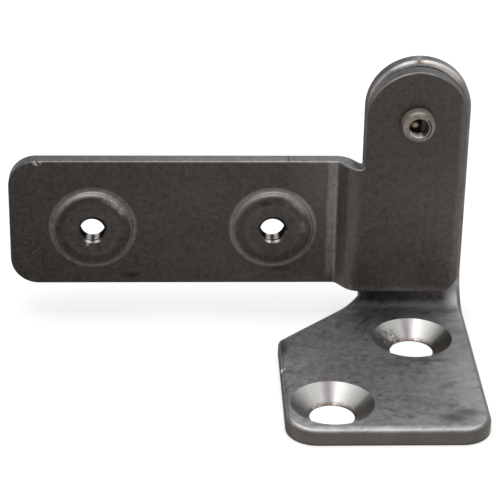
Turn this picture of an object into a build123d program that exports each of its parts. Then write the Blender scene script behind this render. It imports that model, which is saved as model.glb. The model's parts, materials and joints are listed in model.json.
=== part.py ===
"""Pivot hinge of two stamped stainless sheets that turn face to face on one semi-tubular rivet.

The origin is on the underside of the base flange, midway between its two screws.
X runs along the flange's front edge, Y runs back towards the tabs, and Z is up.
"""
import os
from math import radians, sin, tan

from build123d import *

# Sheet that both stampings are cut from
SHEET = 2.5
TAB_GAP = 1.15

# Pivot, measured from the middle of the screw pattern, and the round tops struck from a little above it
PIVOT_X = 7.15
PIVOT_HEIGHT = 33.7
ROUND_TOP_RISE = 0.6

# Base bracket: flange, bend and upright tab
FLANGE_LEFT = 13.8
FLANGE_FRONT = 17.6
FLANGE_CORNER_RADIUS = 4.5
FLANGE_SHOULDER_BACK = 9.2
SHOULDER_CORNER_RADIUS = 1.5
SHOULDER_ANGLE = 45.0
NOTCH_RADIUS = 0.8
BRACKET_TAB_WIDTH = 16.15
BRACKET_TAB_SHIFT = 0.55
BRACKET_FACE_Y = 23.45
BRACKET_BEND_RADIUS = 5.0
BRACKET_ROLLED_EDGE = 0.85
FRONT_ROLL_RUN = 1.7
FRONT_ROLL_DROP = 0.3
BRACKET_BACK_EDGE = 0.2

# Countersunk screw holes in the flange
SCREW_STEP_X = 13.6
SCREW_STEP_Y = 19.4
SCREW_HOLE_DIAMETER = 6.6
COUNTERSINK_DIAMETER = 12.2
COUNTERSINK_ANGLE = 100.0

# Arm: flat leaf, joggle and tab
LEAF_REACH = 62.3
LEAF_TOP = 26.0
LEAF_BOTTOM = 5.05
LEAF_CORNER_RADIUS = 4.3
ARM_TAB_RADIUS = 7.65
ARM_TAB_CORNER_RADIUS = 3.0
ARM_INNER_RADIUS = 0.8
JOGGLE_DEPTH = 3.2
JOGGLE_START = 11.5
JOGGLE_ANGLE = 55.0
JOGGLE_BEND_RADIUS = 0.8
ARM_FRONT_EDGE = 0.35
ARM_BACK_EDGE = 0.2

# Raised bosses with tapped holes, pressed forward out of the leaf
BOSS_SPACING = 28.0
BOSS_NEAR_REACH = 21.4
BOSS_HEIGHT_ON_LEAF = 14.8
BOSS_TOP_DIAMETER = 11.6
BOSS_WALL_RUN = 0.4
BOSS_RISE = 1.0
BOSS_FOOT_RADIUS = 0.8
BOSS_BROW_RADIUS = 0.6
TAP_MINOR_DIAMETER = 3.85

# Semi-tubular rivet and the washer that keeps the tabs apart
RIVET_SHANK_DIAMETER = 4.2
RIVET_ROLL_DIAMETER = 5.15
RIVET_ROLL_PROUD = 2.0
RIVET_ROLL_ROUND = 0.85
RIVET_LIP_ROUND = 0.2
RIVET_BORE_DIAMETER = 2.95
RIVET_BORE_DEPTH = 2.0
RIVET_HEAD_DIAMETER = 8.0
RIVET_HEAD_HEIGHT = 1.5
RIVET_HEAD_EDGE = 0.5
RUNNING_CLEARANCE = 0.05
END_CLEARANCE = 0.05
WASHER_DIAMETER = 9.5

# Places that follow from the sizes above
TAB_LEFT_X = PIVOT_X + BRACKET_TAB_SHIFT - BRACKET_TAB_WIDTH / 2
TAB_RIGHT_X = PIVOT_X + BRACKET_TAB_SHIFT + BRACKET_TAB_WIDTH / 2
ROUND_TOP_HEIGHT = PIVOT_HEIGHT + ROUND_TOP_RISE
BRACKET_TOP = ROUND_TOP_HEIGHT + BRACKET_TAB_WIDTH / 2
BRACKET_BACK_Y = BRACKET_FACE_Y + SHEET
ARM_BACK_Y = BRACKET_FACE_Y - TAB_GAP
ARM_FACE_Y = ARM_BACK_Y - SHEET
LEAF_FACE_Y = ARM_FACE_Y + JOGGLE_DEPTH
LEAF_LEFT_X = PIVOT_X - LEAF_REACH
LEAF_BACK_Y = LEAF_FACE_Y + SHEET
ARM_TOP = ROUND_TOP_HEIGHT + ARM_TAB_RADIUS
OVERCUT = 1.0
FACING = 0.1


def front_view(x, z):
    """Place a drawing made in the front view, with its far side towards +Y."""
    return Plane(origin=(x, 0, z), x_dir=(1, 0, 0), z_dir=(0, -1, 0))


def along_y(radius, y_from, y_to, x, z):
    """Round bar or bore parallel to the pivot."""
    return extrude(front_view(x, z) * Pos(0, 0, -y_from) * Circle(radius), amount=-(y_to - y_from))


def corner_at(sketch, x, y):
    """The vertex of a flat drawing nearest to a place."""
    return sketch.vertices().sort_by_distance((x, y, 0))[0]


def sheet_section(face_line, back_line):
    """Closed section of a bent sheet between its two skins."""
    ends = [Line(face_line @ 0, back_line @ 0), Line(face_line @ 1, back_line @ 1)]
    return make_face([face_line, back_line, *ends])


def screw_places():
    """The two screws stand on a diagonal, one at the front left and one at the back right."""
    half = Vector(SCREW_STEP_X / 2, SCREW_STEP_Y / 2, 0)
    return [half * -1, half]


def boss_places():
    """Middles of the two bosses, as X places on the leaf."""
    near = PIVOT_X - BOSS_NEAR_REACH
    return [near - BOSS_SPACING, near]


def bracket_plan():
    """Outline of the flange seen from above, with the slanted shoulder beside the tab."""
    shoulder_run = (TAB_LEFT_X + FLANGE_LEFT) * tan(radians(SHOULDER_ANGLE))
    notch_y = FLANGE_SHOULDER_BACK + shoulder_run
    back = BRACKET_BACK_Y + OVERCUT
    outline = make_face(Polyline(
        (-FLANGE_LEFT, -FLANGE_FRONT),
        (TAB_RIGHT_X, -FLANGE_FRONT),
        (TAB_RIGHT_X, back),
        (TAB_LEFT_X, back),
        (TAB_LEFT_X, notch_y),
        (-FLANGE_LEFT, FLANGE_SHOULDER_BACK),
        close=True,
    ))
    front_corners = [
        corner_at(outline, -FLANGE_LEFT, -FLANGE_FRONT),
        corner_at(outline, TAB_RIGHT_X, -FLANGE_FRONT),
    ]
    outline = fillet(front_corners, FLANGE_CORNER_RADIUS)
    outline = fillet(corner_at(outline, -FLANGE_LEFT, FLANGE_SHOULDER_BACK), SHOULDER_CORNER_RADIUS)
    return fillet(corner_at(outline, TAB_LEFT_X, notch_y), NOTCH_RADIUS)


def bracket_bent_sheet():
    """Full-width sheet, rolled down at its front edge and bent up at the back into the tab."""
    bend = BRACKET_BEND_RADIUS
    roll_end = FRONT_ROLL_RUN - FLANGE_FRONT
    roll = TangentArc((roll_end, SHEET), (-FLANGE_FRONT, SHEET - FRONT_ROLL_DROP), tangent=(-1, 0))
    inner = FilletPolyline(
        (roll_end, SHEET), (BRACKET_FACE_Y, SHEET), (BRACKET_FACE_Y, BRACKET_TOP), radius=bend)
    outer = FilletPolyline(
        (-FLANGE_FRONT, 0), (BRACKET_BACK_Y, 0), (BRACKET_BACK_Y, BRACKET_TOP), radius=bend + SHEET)
    ends = [Line(roll @ 1, outer @ 0), Line(inner @ 1, outer @ 1)]
    side_view = Plane(origin=(-FLANGE_LEFT, 0, 0), x_dir=(0, 1, 0), z_dir=(1, 0, 0))
    section = make_face([roll, inner, outer, *ends])
    return extrude(side_view * section, amount=TAB_RIGHT_X + FLANGE_LEFT)


def countersink():
    """Cutter for one countersunk screw hole, with its mouth on the flange's top."""
    mouth = COUNTERSINK_DIAMETER / 2
    hole = SCREW_HOLE_DIAMETER / 2
    slope = tan(radians(COUNTERSINK_ANGLE / 2))
    depth = (mouth - hole) / slope
    profile = make_face(Polyline(
        (0, -OVERCUT),
        (hole, -OVERCUT),
        (hole, SHEET - depth),
        (mouth + OVERCUT * slope, SHEET + OVERCUT),
        (0, SHEET + OVERCUT),
        close=True,
    ))
    return revolve(Plane.XZ * profile, Axis.Z)


def rounded_rim(skin, radius):
    """Round the rim of a skin, given as its faces, and leave the bends between them alone."""
    edges = [edge for face in skin for edge in face.edges()]
    rim = [edge for edge in edges if sum(edge.is_same(other) for other in edges) == 1]
    return fillet(rim, radius)


def bracket_skin(bracket, flange_z, tab_y, bend_radius, more=()):
    """Flange, bend and tab faces on one side of the bracket's sheet, and any more at given places."""
    bend_middle = bend_radius * (1 - sin(radians(45)))
    places = [
        (0, 0, flange_z),
        (PIVOT_X, tab_y - bend_middle, flange_z + bend_middle),
        (PIVOT_X, tab_y, PIVOT_HEIGHT),
        *more,
    ]
    return [min(bracket.faces(), key=lambda face: face.distance_to(Vertex(*place))) for place in places]


def base_bracket():
    """One sheet: countersunk flange, bend, and the round-topped tab behind the arm."""
    bracket = bracket_bent_sheet() & extrude(bracket_plan(), amount=BRACKET_TOP + OVERCUT)
    tab_middle = PIVOT_X + BRACKET_TAB_SHIFT
    depth = BRACKET_BACK_Y + FLANGE_FRONT
    below = Pos((TAB_RIGHT_X - FLANGE_LEFT) / 2, (BRACKET_BACK_Y - FLANGE_FRONT) / 2, ROUND_TOP_HEIGHT / 2)
    keep = below * Box(TAB_RIGHT_X + FLANGE_LEFT, depth, ROUND_TOP_HEIGHT)
    keep += along_y(BRACKET_TAB_WIDTH / 2, -FLANGE_FRONT, BRACKET_BACK_Y, tab_middle, ROUND_TOP_HEIGHT)
    bracket &= keep
    roll_middle = (0, FRONT_ROLL_RUN / 2 - FLANGE_FRONT, SHEET - FRONT_ROLL_DROP / 4)
    inner = bracket_skin(bracket, SHEET, BRACKET_FACE_Y, BRACKET_BEND_RADIUS, [roll_middle])
    bracket = rounded_rim(inner, BRACKET_ROLLED_EDGE)
    outer = bracket_skin(bracket, 0, BRACKET_BACK_Y, BRACKET_BEND_RADIUS + SHEET)
    bracket = rounded_rim(outer, BRACKET_BACK_EDGE)
    for place in screw_places():
        bracket -= Pos(place) * countersink()
    return bracket - along_y(RIVET_SHANK_DIAMETER / 2, BRACKET_FACE_Y - OVERCUT, BRACKET_BACK_Y + OVERCUT,
                             PIVOT_X, PIVOT_HEIGHT)


def arm_outline():
    """The arm seen from the front: long leaf at the left, round-topped tab at the right."""
    tab_left = PIVOT_X - ARM_TAB_RADIUS
    tab_right = PIVOT_X + ARM_TAB_RADIUS
    leaf = make_face(Polyline(
        (LEAF_LEFT_X, LEAF_BOTTOM),
        (tab_right, LEAF_BOTTOM),
        (tab_right, ROUND_TOP_HEIGHT),
        (tab_left, ROUND_TOP_HEIGHT),
        (tab_left, LEAF_TOP),
        (LEAF_LEFT_X, LEAF_TOP),
        close=True,
    ))
    leaf = fillet([corner_at(leaf, LEAF_LEFT_X, LEAF_BOTTOM), corner_at(leaf, LEAF_LEFT_X, LEAF_TOP)],
                  LEAF_CORNER_RADIUS)
    leaf = fillet(corner_at(leaf, tab_right, LEAF_BOTTOM), ARM_TAB_CORNER_RADIUS)
    leaf = fillet(corner_at(leaf, tab_left, LEAF_TOP), ARM_INNER_RADIUS)
    return leaf + Pos(PIVOT_X, ROUND_TOP_HEIGHT) * Circle(ARM_TAB_RADIUS)


def arm_bent_sheet():
    """Tall sheet with the joggle that brings the tab forward of the leaf."""
    start = PIVOT_X - JOGGLE_START
    finish = start + JOGGLE_DEPTH / tan(radians(JOGGLE_ANGLE))
    shift = SHEET * tan(radians(JOGGLE_ANGLE / 2))
    tab_right = PIVOT_X + ARM_TAB_RADIUS
    tight = JOGGLE_BEND_RADIUS
    wide = JOGGLE_BEND_RADIUS + SHEET
    face_line = FilletPolyline(
        (LEAF_LEFT_X, LEAF_FACE_Y), (start, LEAF_FACE_Y), (finish, ARM_FACE_Y), (tab_right, ARM_FACE_Y),
        radius=[tight, wide])
    back_line = FilletPolyline(
        (LEAF_LEFT_X, LEAF_BACK_Y), (start + shift, LEAF_BACK_Y), (finish + shift, ARM_BACK_Y),
        (tab_right, ARM_BACK_Y), radius=[wide, tight])
    return extrude(sheet_section(face_line, back_line), amount=ARM_TOP)


def boss_skin(foot, top, rise):
    """Solid under the skin of a boss: a low disc with a rounded foot, steep wall, brow and flat top."""
    line = FilletPolyline(
        (foot + BOSS_FOOT_RADIUS, 0), (foot, 0), (top, rise), (0, rise),
        radius=[BOSS_FOOT_RADIUS, BOSS_BROW_RADIUS])
    under = Polyline((0, rise), (0, -SHEET / 2), (foot + BOSS_FOOT_RADIUS, -SHEET / 2),
                     (foot + BOSS_FOOT_RADIUS, 0))
    return revolve(Plane.XZ * make_face([line, under]), Axis.Z)


def hinge_arm():
    """One sheet: leaf with two tapped bosses, joggle, and the round-topped tab in front."""
    outline = extrude(front_view(0, 0) * arm_outline(), amount=-(LEAF_BACK_Y + OVERCUT))
    arm = arm_bent_sheet() & outline
    arm = rounded_rim([face for face in arm.faces() if face.normal_at().Y < -FACING], ARM_FRONT_EDGE)
    arm = rounded_rim([face for face in arm.faces() if face.normal_at().Y > FACING], ARM_BACK_EDGE)
    top = BOSS_TOP_DIAMETER / 2
    raised = boss_skin(top + BOSS_WALL_RUN, top, BOSS_RISE)
    for x in boss_places():
        seat = Location((x, LEAF_FACE_Y, BOSS_HEIGHT_ON_LEAF), (90, 0, 0))
        hollow_seat = Location((x, LEAF_BACK_Y, BOSS_HEIGHT_ON_LEAF), (90, 0, 0))
        arm += seat * raised
        arm -= hollow_seat * boss_hollow()
        arm -= along_y(TAP_MINOR_DIAMETER / 2, LEAF_FACE_Y - BOSS_RISE - OVERCUT, LEAF_BACK_Y + OVERCUT,
                       x, BOSS_HEIGHT_ON_LEAF)
    bore = RIVET_SHANK_DIAMETER / 2 + RUNNING_CLEARANCE
    return arm - along_y(bore, ARM_FACE_Y - OVERCUT, ARM_BACK_Y + OVERCUT, PIVOT_X, PIVOT_HEIGHT)


def boss_hollow():
    """Cutter for the shallow dish that pressing a boss leaves in the back of the leaf."""
    mouth = BOSS_TOP_DIAMETER / 2
    floor = mouth - BOSS_RISE
    profile = make_face(Polyline(
        (0, BOSS_RISE), (floor, BOSS_RISE), (mouth, 0), (mouth, -OVERCUT), (0, -OVERCUT), close=True))
    return revolve(Plane.XZ * profile, Axis.Z)


def rivet():
    """Semi-tubular rivet: low domed head behind the bracket, rolled tube end in front of the arm."""
    shank = RIVET_SHANK_DIAMETER / 2
    roll = RIVET_ROLL_DIAMETER / 2
    bore = RIVET_BORE_DIAMETER / 2
    head = RIVET_HEAD_DIAMETER / 2
    seat = ARM_FACE_Y - END_CLEARANCE
    tip = ARM_FACE_Y - RIVET_ROLL_PROUD
    crown = BRACKET_BACK_Y + RIVET_HEAD_HEIGHT
    profile = make_face([
        Polyline((0, crown), (0, tip + RIVET_BORE_DEPTH), (bore, tip + RIVET_BORE_DEPTH), (bore, tip),
                 (roll, tip), (roll, seat), (shank, seat), (shank, BRACKET_BACK_Y),
                 (head, BRACKET_BACK_Y), (head, BRACKET_BACK_Y + RIVET_HEAD_EDGE)),
        TangentArc((0, crown), (head, BRACKET_BACK_Y + RIVET_HEAD_EDGE), tangent=(1, 0)),
    ])
    profile = fillet(corner_at(profile, roll, tip), RIVET_ROLL_ROUND)
    profile = fillet(corner_at(profile, bore, tip), RIVET_LIP_ROUND)
    solid = revolve(profile, Axis.Y)
    return Pos(PIVOT_X, 0, PIVOT_HEIGHT) * solid


def spacer_washer():
    """Flat washer on the rivet that keeps the two tabs apart."""
    disc = along_y(WASHER_DIAMETER / 2, ARM_BACK_Y, BRACKET_FACE_Y, PIVOT_X, PIVOT_HEIGHT)
    return disc - along_y(RIVET_SHANK_DIAMETER / 2, ARM_BACK_Y - OVERCUT, BRACKET_FACE_Y + OVERCUT,
                          PIVOT_X, PIVOT_HEIGHT)


def main():
    """Build every piece and write one file for each."""
    os.makedirs("parts", exist_ok=True)
    export_step(base_bracket(), "parts/base_bracket.step")
    export_step(hinge_arm(), "parts/hinge_arm.step")
    export_step(rivet(), "parts/pivot_rivet.step")
    export_step(spacer_washer(), "parts/spacer_washer.step")


main()
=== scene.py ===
"""Looks of a riveted pivot hinge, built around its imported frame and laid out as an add-on."""
import json
import math

import bmesh
import bpy
from bpy.props import FloatProperty, FloatVectorProperty, IntProperty, PointerProperty
from bpy.types import Operator, Panel, PropertyGroup
from mathutils import Matrix, Vector


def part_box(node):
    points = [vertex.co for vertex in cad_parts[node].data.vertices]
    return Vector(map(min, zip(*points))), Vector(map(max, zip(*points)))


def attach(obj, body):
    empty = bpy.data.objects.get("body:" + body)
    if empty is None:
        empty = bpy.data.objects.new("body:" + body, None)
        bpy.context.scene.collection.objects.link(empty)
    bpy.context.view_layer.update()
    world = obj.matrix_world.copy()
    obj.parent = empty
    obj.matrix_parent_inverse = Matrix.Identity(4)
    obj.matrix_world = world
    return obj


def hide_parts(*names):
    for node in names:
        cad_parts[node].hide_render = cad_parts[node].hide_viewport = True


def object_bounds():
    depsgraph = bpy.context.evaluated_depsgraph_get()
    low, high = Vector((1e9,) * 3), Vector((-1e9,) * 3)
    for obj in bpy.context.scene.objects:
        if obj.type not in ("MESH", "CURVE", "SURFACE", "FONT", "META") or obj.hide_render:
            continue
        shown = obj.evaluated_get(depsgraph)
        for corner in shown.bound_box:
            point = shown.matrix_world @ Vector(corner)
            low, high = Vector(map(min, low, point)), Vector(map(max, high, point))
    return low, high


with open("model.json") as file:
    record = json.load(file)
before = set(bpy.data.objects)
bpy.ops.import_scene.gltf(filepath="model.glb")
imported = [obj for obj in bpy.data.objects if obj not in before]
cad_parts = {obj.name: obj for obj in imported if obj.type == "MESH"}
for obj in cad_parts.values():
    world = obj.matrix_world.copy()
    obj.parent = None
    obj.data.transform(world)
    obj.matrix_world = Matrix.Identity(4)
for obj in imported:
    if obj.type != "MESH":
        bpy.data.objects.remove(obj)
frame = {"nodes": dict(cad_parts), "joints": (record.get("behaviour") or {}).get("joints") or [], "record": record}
CAD_LOW, CAD_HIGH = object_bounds()

bl_info = {
    "name": "Pivot Hinge Looks",
    "version": (1, 0, 0),
    "blender": (4, 5, 0),
    "location": "View3D > Sidebar > Hinge",
    "description": "Dresses a riveted stainless pivot hinge in worn steel and sets it in a studio",
    "category": "Object",
}

MM = 0.001
PHOTO_WIDTH = 500.0
SENSOR_WIDTH = 36.0
CLIP_START = 0.01
CLIP_END = 10.0
FLOOR_GAP = 0.02 * MM

# How the meshes are cleaned, cut and smoothed, with angles in degrees
MERGE_DISTANCE = 0.001 * MM
FLAT_ANGLE = 0.2
SHARP_ANGLE = 37.0
FLAT_WEIGHT = 100
CUTTER_SEGMENTS = 64

# Places on the hinge that the finishes need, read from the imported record
MOUNTS = {mount["name"]: mount for mount in frame["record"]["mounts"]}
PIVOT = Vector(frame["joints"][0]["pos_m"])
TAPS = MOUNTS["leaf_taps"]
TAP_MIDDLE = Vector(TAPS["pos_m"])
TAP_STEP = Vector((TAPS["dims"]["spacing_x_mm"] * MM, 0.0, 0.0))
TAP_RADIUS = TAPS["dims"]["hole_r_mm"]
BRACKET_LOW, BRACKET_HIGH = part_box("base_bracket")

# Sizes that the finishes share with the solids, in millimetres
SHEET = 2.5
SCREW_STEP = (13.6, 19.4)
SCREW_HOLE_RADIUS = 3.3
COUNTERSINK_RADIUS = 6.1
LEAF_FACE_Y = 23.0
LEAF_TOP_Z = 26.0
LEAF_END_X = -55.15
BOSS_RISE = 1.0
BOSS_FACE_Y = LEAF_FACE_Y - BOSS_RISE
BOSS_TOP_RADIUS = 5.8
JOGGLE_X = -4.35
ARM_FACE_Y = 19.8
ARM_RIGHT_X = 14.8
ARM_BOTTOM_Z = 5.05
RIVET_BORE_RADIUS = 1.475

# Sizes that only the looks have, in millimetres: chamfered mouths of the tapped holes and how far
# a cutter starts outside them, places of the nicks, and the depth of the fine relief
MOUTH_RADIUS = 2.3
MOUTH_DEPTH = 0.3
OVERCUT = 1.0
CORNER_NICK_X = -50.6
TOP_NICK_X = -12.0
TAB_NICK_X = 7.3
EDGE_NICK_Y = 0.2
SKIN_RELIEF = 0.012
THREAD_RELIEF = 0.006

# Shares of the pitch that a thread's ridge takes at its root and at its crest
ROOT_SHARE = 0.86
CREST_SHARE = 0.16

# How strongly the painted highlights and the scuffs show on the left and the right boss
BOSS_SHEEN_AND_WEAR = (1.0, 0.6)


class SteelFinish(PropertyGroup):
    """Colours and roughness of the steel, with the colours of its painted highlights, glints, reflection and
    shade.
    """

    arm_colour: FloatVectorProperty(
        name="Arm", description="Mill finish of the arm's faces", subtype="COLOR", size=3,
        min=0.0, max=1.0, default=(0.050, 0.0445, 0.0395))
    bracket_colour: FloatVectorProperty(
        name="Bracket", description="Tumbled finish of the bracket's faces", subtype="COLOR", size=3,
        min=0.0, max=1.0, default=(0.215, 0.209, 0.212))
    # Painted light: colour of the arm's edges that face up and of its boss brows, made lighter as lit from above
    lit_edge_colour: FloatVectorProperty(
        name="Upper edges", description="Lit edges of the arm that face up", subtype="COLOR", size=3,
        min=0.0, max=1.0, default=(0.140, 0.136, 0.137))
    # Painted shade: colour of the sheets' sheared sides and of the flange's upright sides, made darker as turned
    # from the light
    shaded_side_colour: FloatVectorProperty(
        name="Side edges", description="Sheared edges of both sheets that face sideways",
        subtype="COLOR", size=3, min=0.0, max=1.0, default=(0.098, 0.087, 0.077))
    # Bright cut steel, also the colour of the painted glints and highlights in the countersinks, threads, bores,
    # bosses and nicks
    cut_and_glint_colour: FloatVectorProperty(
        name="Machined", description="Bright cut steel in the countersinks, threads and nicks",
        subtype="COLOR", size=3, min=0.0, max=1.0, default=(0.86, 0.84, 0.81))
    rivet_colour: FloatVectorProperty(
        name="Rivet", description="Drawn steel of the rivet and the washer", subtype="COLOR", size=3,
        min=0.0, max=1.0, default=(0.160, 0.143, 0.124))
    # Painted reflection: a straw-coloured glint on the floor of the rivet's bore
    straw_reflection_colour: FloatVectorProperty(
        name="Straw", description="Straw-coloured stain in the rivet's bore", subtype="COLOR", size=3,
        min=0.0, max=1.0, default=(0.42, 0.33, 0.20))
    rust_colour: FloatVectorProperty(
        name="Rust", description="Reddish brown stains in the countersinks", subtype="COLOR", size=3,
        min=0.0, max=1.0, default=(0.075, 0.042, 0.026))
    # Lilac tint laid on the narrow streak of the countersinks' painted glints
    tint_colour: FloatVectorProperty(
        name="Tint", description="Lilac streaks in the countersinks", subtype="COLOR", size=3,
        min=0.0, max=1.0, default=(0.85, 0.78, 0.81))
    stain_colour: FloatVectorProperty(
        name="Stain", description="Pale brown stains on the arm", subtype="COLOR", size=3,
        min=0.0, max=1.0, default=(0.215, 0.165, 0.126))
    # Painted highlight: warm colour of the lit rim of the bracket's round end
    warm_highlight_colour: FloatVectorProperty(
        name="Warm rim", description="Lit rim of the bracket's round end", subtype="COLOR", size=3,
        min=0.0, max=1.0, default=(0.270, 0.238, 0.208))
    grime_colour: FloatVectorProperty(
        name="Grime", description="Brownish grey pits in the rear countersink", subtype="COLOR", size=3,
        min=0.0, max=1.0, default=(0.050, 0.042, 0.034))
    # Dark smudges and dirt, and also painted shade inside the bores, on the rivet bore's floor and in the thread
    # roots
    soot_and_shade_colour: FloatVectorProperty(
        name="Soot", description="Dark smudges and dark insides of bores", subtype="COLOR", size=3,
        min=0.0, max=1.0, default=(0.018, 0.016, 0.015))
    roughness: FloatProperty(
        name="Roughness", description="Mean roughness of the sheet", subtype="FACTOR",
        min=0.0, max=1.0, default=0.42)


class ThreadSizes(PropertyGroup):
    """Thread turns in the bosses."""

    pitch: FloatProperty(
        name="Pitch", description="Distance from one thread turn to the next", unit="LENGTH",
        default=1.058 * MM)
    depth: FloatProperty(
        name="Depth", description="Height of the thread's ridge", unit="LENGTH", default=0.45 * MM)
    inset: FloatProperty(
        name="Inset", description="Depth of the first turn below the boss's top", unit="LENGTH",
        default=0.25 * MM)
    length: FloatProperty(
        name="Length", description="Threaded length", unit="LENGTH", default=2.2 * MM)
    steps: IntProperty(
        name="Steps", description="Segments in one turn", min=8, default=64)


class StudioLayout(PropertyGroup):
    """Camera and light of the studio."""

    focal_pixels: FloatProperty(
        name="Focal length", description="Camera's focal length in pixels of the square picture",
        default=2015.95)
    yaw: FloatProperty(
        name="Yaw", description="Turn of the camera to the right", subtype="ANGLE",
        default=math.radians(2.553))
    pitch: FloatProperty(
        name="Pitch", description="Downward tilt of the camera", subtype="ANGLE",
        default=math.radians(26.380))
    roll: FloatProperty(
        name="Roll", description="Turn of the camera about its own axis", subtype="ANGLE",
        default=math.radians(1.077))
    aim: FloatVectorProperty(
        name="Aim", description="Point in the middle of the picture", subtype="TRANSLATION",
        unit="LENGTH", size=3, default=(-18.731 * MM, 0.0, 22.28 * MM))
    distance: FloatProperty(
        name="Distance", description="Camera's distance from the aim", unit="LENGTH",
        default=290.556 * MM)
    floor_colour: FloatVectorProperty(
        name="Floor", description="Pale floor", subtype="COLOR", size=3, min=0.0, max=1.0,
        default=(0.93, 0.93, 0.93))
    floor_size: FloatProperty(
        name="Floor size", description="Side of the floor", unit="LENGTH", default=3.0)
    floor_white: FloatProperty(
        name="Floor white", description="Share of plain white that the camera sees in the floor",
        subtype="FACTOR", min=0.0, max=1.0, default=0.6)
    ambient: FloatProperty(
        name="Ambient", description="Strength of the light from all round", min=0.0, default=0.35)
    top_light: FloatProperty(
        name="Top light", description="Power of the softbox overhead", unit="POWER", default=3.6)
    softbox_place: FloatVectorProperty(
        name="Softbox", description="Place of the softbox", subtype="TRANSLATION", unit="LENGTH",
        size=3, default=(-0.02, 0.0, 0.50))
    softbox_aim: FloatVectorProperty(
        name="Softbox aim", description="Point that the softbox faces", subtype="TRANSLATION",
        unit="LENGTH", size=3, default=(-0.02, 0.0, 0.01))
    softbox_width: FloatProperty(
        name="Softbox width", description="Size of the softbox from left to right", unit="LENGTH",
        default=0.55)
    softbox_depth: FloatProperty(
        name="Softbox depth", description="Size of the softbox from front to back", unit="LENGTH",
        default=0.50)


class Wire:
    """One output of a node, which takes part in Python sums."""

    def __init__(self, wiring, socket):
        self.wiring = wiring
        self.socket = socket

    def other(self, name):
        """Another output of the same node."""
        return Wire(self.wiring, self.wiring.find(self.socket.node.outputs, name))

    def __add__(self, other):
        return self.wiring.maths("ADD", self, other)

    __radd__ = __add__

    def __sub__(self, other):
        return self.wiring.maths("SUBTRACT", self, other)

    def __rsub__(self, other):
        return self.wiring.maths("SUBTRACT", other, self)

    def __mul__(self, other):
        return self.wiring.maths("MULTIPLY", self, other)

    __rmul__ = __mul__

    def __truediv__(self, other):
        return self.wiring.maths("DIVIDE", self, other)

    def __rtruediv__(self, other):
        return self.wiring.maths("DIVIDE", other, self)


class Wiring:
    """A node tree being wired, with one method for any node."""

    def __init__(self, tree):
        self.tree = tree
        self.tree.nodes.clear()

    def node(self, kind, settings=None, sockets=None, output=0):
        """Add one node, set it up, connect its sockets and return one of its outputs."""
        made = self.tree.nodes.new(kind)
        for name, value in (settings or {}).items():
            if name == "stops":
                self.set_stops(made.color_ramp, value)
            else:
                setattr(made, name, value)
        for name, value in (sockets or {}).items():
            socket = self.find(made.inputs, name)
            if isinstance(value, Wire):
                self.tree.links.new(value.socket, socket)
            else:
                socket.default_value = value
        if not made.outputs:
            return None
        return Wire(self, self.find(made.outputs, output))

    @staticmethod
    def find(sockets, name):
        """A socket by its number, its identifier or its name."""
        if isinstance(name, int):
            return sockets[name]
        for socket in sockets:
            if socket.identifier == name:
                return socket
        return sockets[name]

    @staticmethod
    def set_stops(ramp, stops):
        """Give a ramp its stops, as pairs of a place and a grey."""
        while len(ramp.elements) < len(stops):
            ramp.elements.new(1.0)
        for element, (place, grey) in zip(ramp.elements, stops):
            element.position = place
            element.color = (grey, grey, grey, 1.0)

    def maths(self, operation, first, second=0.0):
        """One step of arithmetic on values."""
        return self.node("ShaderNodeMath", {"operation": operation}, {0: first, 1: second})

    def either(self, *masks):
        """The larger of several masks."""
        largest = masks[0]
        for mask in masks[1:]:
            largest = self.maths("MAXIMUM", largest, mask)
        return largest

    def joined(self, rows):
        """The larger of each named mask over several rows of masks."""
        return {name: self.either(*[row[name] for row in rows]) for name in rows[0]}


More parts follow.
